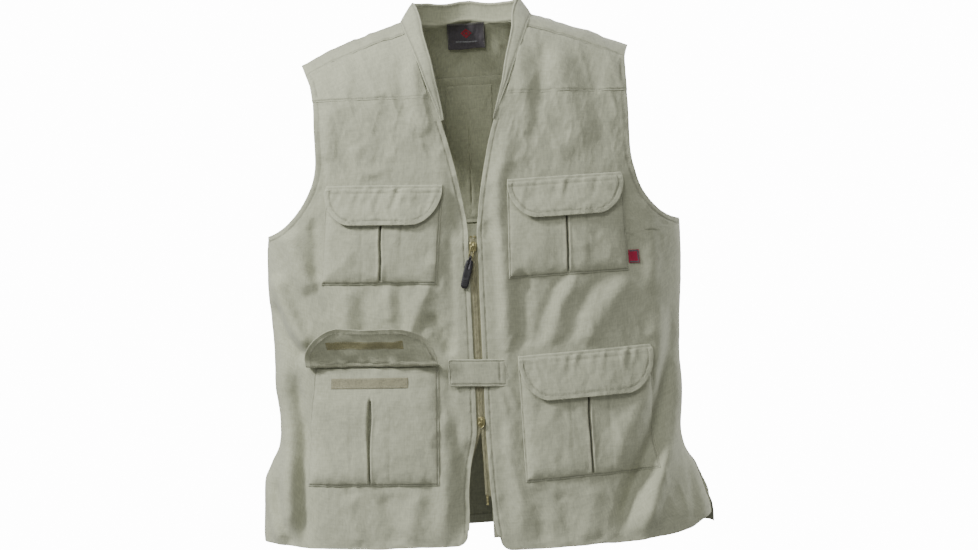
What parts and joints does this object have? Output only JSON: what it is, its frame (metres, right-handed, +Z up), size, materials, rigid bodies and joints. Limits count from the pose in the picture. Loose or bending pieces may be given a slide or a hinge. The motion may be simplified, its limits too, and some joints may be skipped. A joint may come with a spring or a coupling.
{
  "type": "fishing vest",
  "caption": "Sleeveless cotton fishing vest with a stand neckband, a two-way front zip, flapped bellows pockets and a waist tab.",
  "frame": {"origin": "middle of the neck opening, level with the seam that joins the neckband to the back yoke at the nape", "axes": "+Z up, -Y out of the front, +X towards the wearer's left, which is to the right when seen from the front"},
  "size_m": [0.604, 0.2527, 0.7262],
  "materials": {
    "cloth": "plain-woven cotton",
    "cloth_inside": "plain-woven cotton, inside",
    "loop_tape": "soft napped loop tape",
    "hook_tape": "hook tape",
    "zip_tape": "woven zip tape",
    "zip_coil": "moulded nylon coil",
    "antique_brass": "antique brass plating",
    "puller": "moulded rubber, satin",
    "neck_label": "damask-woven label",
    "side_tag": "woven tag"
  },
  "bodies": {
    "root": {"back_panel": "cloth", "back_yoke": "cloth", "back_pleat_underlay": "cloth_inside", "right_front_panel": "cloth", "left_front_panel": "cloth", "right_front_yoke": "cloth", "left_front_yoke": "cloth", "neckband": "cloth", "right_armhole_facing": "cloth_inside", "left_armhole_facing": "cloth_inside", "right_front_facing": "cloth_inside", "left_front_facing": "cloth_inside", "right_chest_pocket": "cloth", "left_chest_pocket": "cloth", "right_lower_pocket": "cloth", "left_lower_pocket": "cloth", "right_chest_loop_strip": "loop_tape", "left_chest_loop_strip": "loop_tape", "right_lower_loop_strip": "loop_tape", "left_lower_loop_strip": "loop_tape", "right_zip_tape": "zip_tape", "left_zip_tape": "zip_tape", "right_zip_coil": "zip_coil", "left_zip_coil": "zip_coil", "zip_top_stops": "antique_brass", "right_zip_pin": "antique_brass", "left_zip_pin": "antique_brass", "tab_loop_patch": "loop_tape", "neck_label": "neck_label", "side_tag": "side_tag"},
    "right_chest_flap": {"right_chest_flap": "cloth", "right_chest_hook_strip": "hook_tape"},
    "left_chest_flap": {"left_chest_flap": "cloth", "left_chest_hook_strip": "hook_tape"},
    "right_lower_flap": {"right_lower_flap": "cloth", "right_lower_hook_strip": "hook_tape"},
    "left_lower_flap": {"left_lower_flap": "cloth", "left_lower_hook_strip": "hook_tape"},
    "top_slider": {"top_slider": "antique_brass"},
    "top_pull": {"top_pull": "antique_brass"},
    "puller": {"puller": "puller"},
    "bottom_slider": {"bottom_slider": "antique_brass"},
    "bottom_pull": {"bottom_pull": "antique_brass"},
    "waist_tab": {"waist_tab": "cloth", "tab_hook_patch": "hook_tape"}
  },
  "joints": [
    {"name": "right_chest_flap_hinge", "type": "hinge", "parent": "root", "child": "right_chest_flap", "pos_m": [-0.1126, -0.10327, -0.232], "axis": [-0.9913, 0.126, 0.0389], "range_deg": [0, 140]},
    {"name": "left_chest_flap_hinge", "type": "hinge", "parent": "root", "child": "left_chest_flap", "pos_m": [0.12168, -0.10217, -0.23], "axis": [-0.9895, -0.1424, -0.0258], "range_deg": [0, 140]},
    {"name": "right_lower_flap_hinge", "type": "hinge", "parent": "root", "child": "right_lower_flap", "pos_m": [-0.13899, -0.09936, -0.46504], "axis": [-0.9808, 0.1939, 0.0222], "range_deg": [-135, 4]},
    {"name": "left_lower_flap_hinge", "type": "hinge", "parent": "root", "child": "left_lower_flap", "pos_m": [0.13695, -0.09972, -0.45954], "axis": [-0.9814, -0.1879, -0.0392], "range_deg": [0, 140]},
    {"name": "top_slider_slide", "type": "slide", "parent": "root", "child": "top_slider", "axis": [0, 0, -1], "range_m": [0, 0.075]},
    {"name": "top_pull_hinge", "type": "hinge", "parent": "top_slider", "child": "top_pull", "pos_m": [0, -0.1067, -0.315], "axis": [-0.9659, 0, 0.2588], "range_deg": [0, 125]},
    {"name": "puller_hinge", "type": "hinge", "parent": "top_pull", "child": "puller", "pos_m": [-0.00388, -0.1067, -0.32949], "axis": [-0.9659, 0, 0.2588], "range_deg": [0, 50]},
    {"name": "bottom_slider_slide", "type": "slide", "parent": "root", "child": "bottom_slider", "axis": [0, 0, 1], "range_m": [0, 0.03]},
    {"name": "bottom_pull_hinge", "type": "hinge", "parent": "bottom_slider", "child": "bottom_pull", "pos_m": [0, -0.1067, -0.543], "axis": [-1, 0, 0], "range_deg": [0, 150]},
    {"name": "waist_tab_hinge", "type": "hinge", "parent": "root", "child": "waist_tab", "pos_m": [0.037, -0.1085, -0.4785], "axis": [0, 0, 1], "range_deg": [0, 120]}
  ]
}
